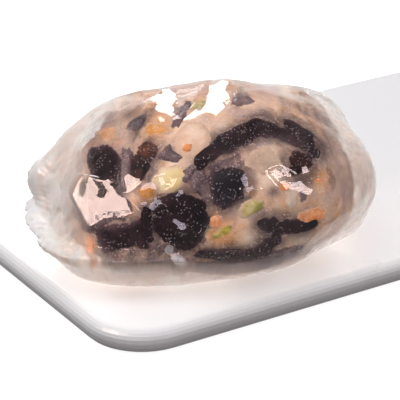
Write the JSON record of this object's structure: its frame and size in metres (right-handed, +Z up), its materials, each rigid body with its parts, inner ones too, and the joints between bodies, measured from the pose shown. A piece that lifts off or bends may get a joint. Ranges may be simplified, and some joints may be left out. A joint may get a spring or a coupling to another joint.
{
  "type": "crystal dumpling on a plate",
  "caption": "Steamed crystal dumpling with a see-through starch skin round a mixed vegetable filling, resting near one end of a long white porcelain plate.",
  "frame": {"origin": "middle of the plate's underside, on the surface that it stands on", "axes": "+X along the plate's long side, away from the end that carries the dumpling; +Z up"},
  "size_m": [0.2, 0.084, 0.0362],
  "materials": {
    "starch_skin": "wet, milky and see-through cooked starch dough",
    "porcelain": "smooth white glaze",
    "filling": "moist minced filling with pieces of wood ear, carrot, corn and greens"
  },
  "bodies": {
    "root": {"dumpling": "starch_skin", "plate": "porcelain"}
  },
  "joints": []
}
